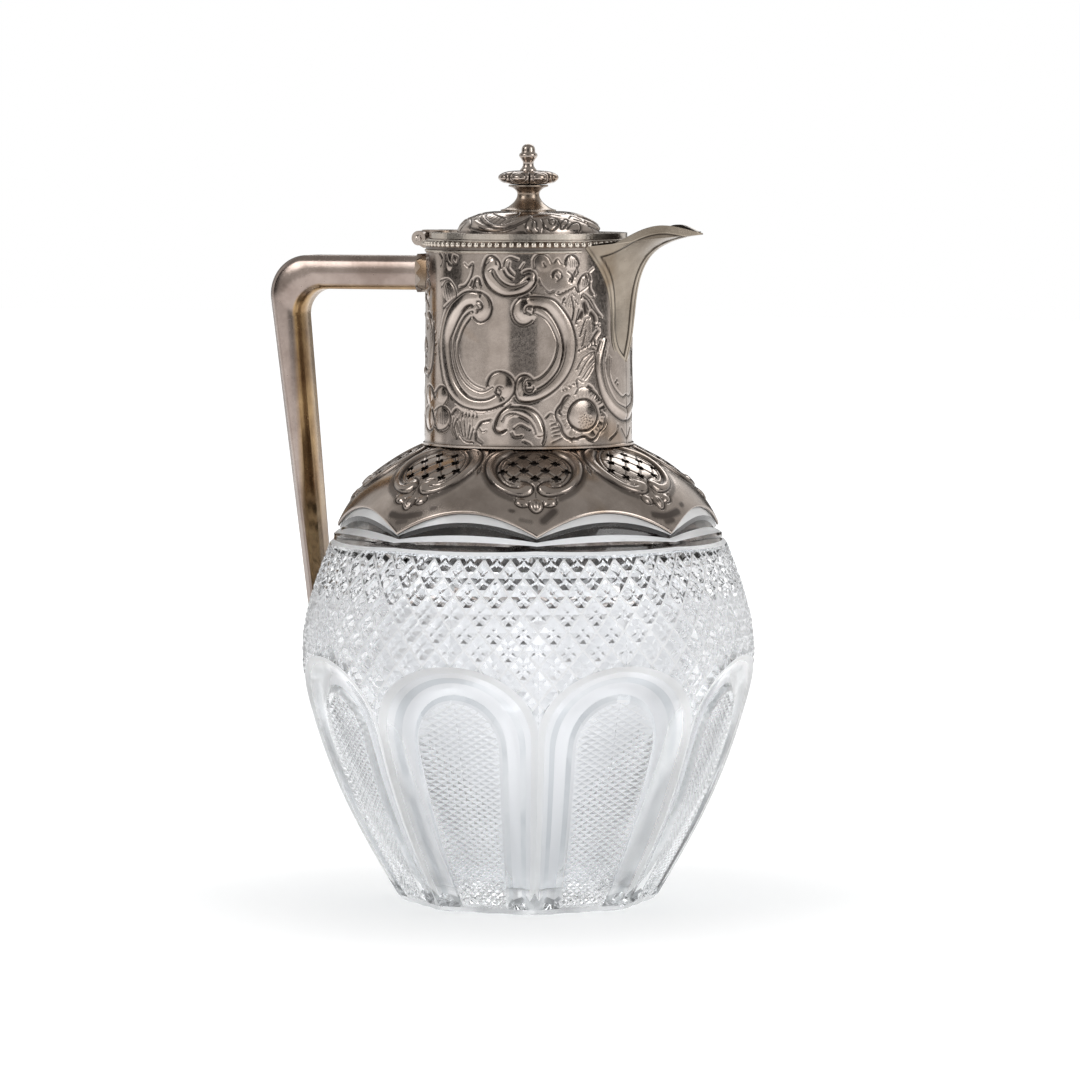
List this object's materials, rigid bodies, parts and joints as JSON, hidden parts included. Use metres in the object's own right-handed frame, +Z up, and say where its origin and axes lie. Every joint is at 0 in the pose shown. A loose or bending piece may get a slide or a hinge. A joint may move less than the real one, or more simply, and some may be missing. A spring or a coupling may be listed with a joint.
{
  "type": "claret jug",
  "caption": "Cut-glass claret jug with a chased silver neck, pouring lip, hollow handle and hinged lid.",
  "frame": {"origin": "centre of the base on the surface that the jug stands on", "axes": "+Z up along the jug's axis, +X to the spout, -X to the handle"},
  "size_m": [0.1769, 0.1608, 0.2689],
  "materials": {
    "cut_glass": "polished cut lead crystal",
    "silver": "chased silver with a warm grey patina",
    "plaster": "dry plaster, hidden",
    "brass": "turned, hidden"
  },
  "bodies": {
    "jug": {"glass_vessel": "cut_glass", "plaster_bed": "plaster", "shoulder_collar": "silver", "neck_sleeve": "silver", "joint_wire": "silver", "rim_fillet": "silver", "beaded_wire_near": "silver", "beaded_wire_far": "silver", "rim_band": "silver", "spout": "silver", "handle": "silver", "handle_foot_plate": "silver", "handle_socket": "silver", "hinge_fork": "silver", "hinge_pin": "silver"},
    "lid": {"hinge_tongue": "silver", "lid_flange": "silver", "lid_bezel": "silver", "lid_dome": "silver", "finial_pedestal": "silver", "finial_disc": "silver", "finial_knop": "silver", "finial_washer": "brass", "finial_nut": "brass", "finial_stud": "silver"}
  },
  "joints": [
    {"name": "lid_hinge", "type": "hinge", "parent": "jug", "child": "lid", "pos_m": [-0.039, 0, 0.2354], "axis": [0, -1, 0], "range_deg": [0, 105]}
  ]
}
